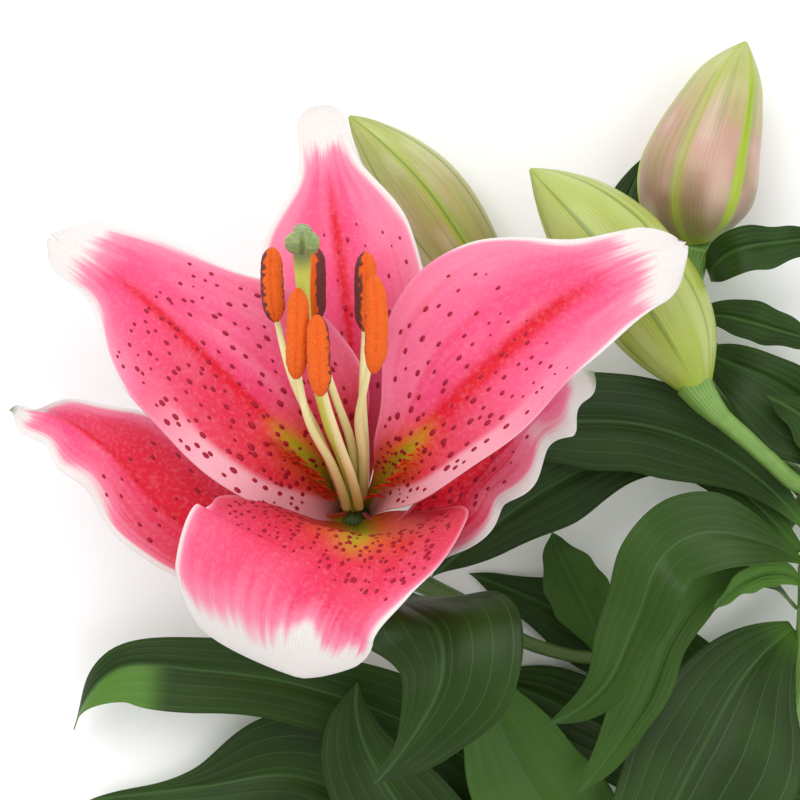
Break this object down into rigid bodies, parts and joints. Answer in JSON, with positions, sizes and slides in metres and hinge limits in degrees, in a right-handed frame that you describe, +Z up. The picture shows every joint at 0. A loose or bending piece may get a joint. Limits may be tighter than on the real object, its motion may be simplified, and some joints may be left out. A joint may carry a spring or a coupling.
{
  "type": "cut lily",
  "caption": "Cut lily stem lying on a surface, with an open spotted pink flower, closed buds on curved stalks, and glossy lance-shaped leaves.",
  "frame": {"origin": "on the surface that the stem lies on, under the middle of the whole spray's bounding box", "axes": "+Z up from the surface; +Y along the stem from its cut end towards the buds; the open flower lies towards -X"},
  "size_m": [0.2828, 0.3402, 0.1196],
  "materials": {
    "petal": "satin pink with white margins, crimson midribs and crimson spots",
    "leaf": "glossy dark green with fine lengthwise veins",
    "stem": "satin light green",
    "bud": "satin green flushed with pink",
    "style": "satin pale green",
    "pollen": "rough powdery orange"
  },
  "bodies": {
    "root": {"stem": "stem", "stalk_flower": "stem", "stalk_upper_bud": "stem", "stalk_middle_bud": "stem", "stalk_lower_bud": "stem", "sepal_upper": "petal", "sepal_left": "petal", "sepal_right": "petal", "petal_left": "petal", "petal_right": "petal", "petal_lower": "petal", "filament_1": "style", "filament_2": "style", "filament_3": "style", "filament_4": "style", "filament_5": "style", "filament_6": "style", "anther_1": "pollen", "anther_2": "pollen", "anther_3": "pollen", "anther_4": "pollen", "anther_5": "pollen", "anther_6": "pollen", "style": "style", "stigma": "style", "bud_upper": "bud", "bud_middle": "bud", "bud_lower": "bud", "bract_1": "leaf", "bract_2": "leaf", "bract_3": "leaf", "bract_4": "leaf", "bract_5": "leaf", "leaf_01": "leaf", "leaf_02": "leaf", "leaf_03": "leaf", "leaf_04": "leaf", "leaf_05": "leaf", "leaf_06": "leaf", "leaf_07": "leaf", "leaf_08": "leaf", "leaf_09": "leaf", "leaf_10": "leaf", "leaf_11": "leaf", "leaf_12": "leaf", "leaf_13": "leaf", "leaf_14": "leaf", "leaf_15": "leaf", "leaf_16": "leaf", "leaf_17": "leaf", "leaf_18": "leaf", "leaf_19": "leaf"}
  },
  "joints": []
}
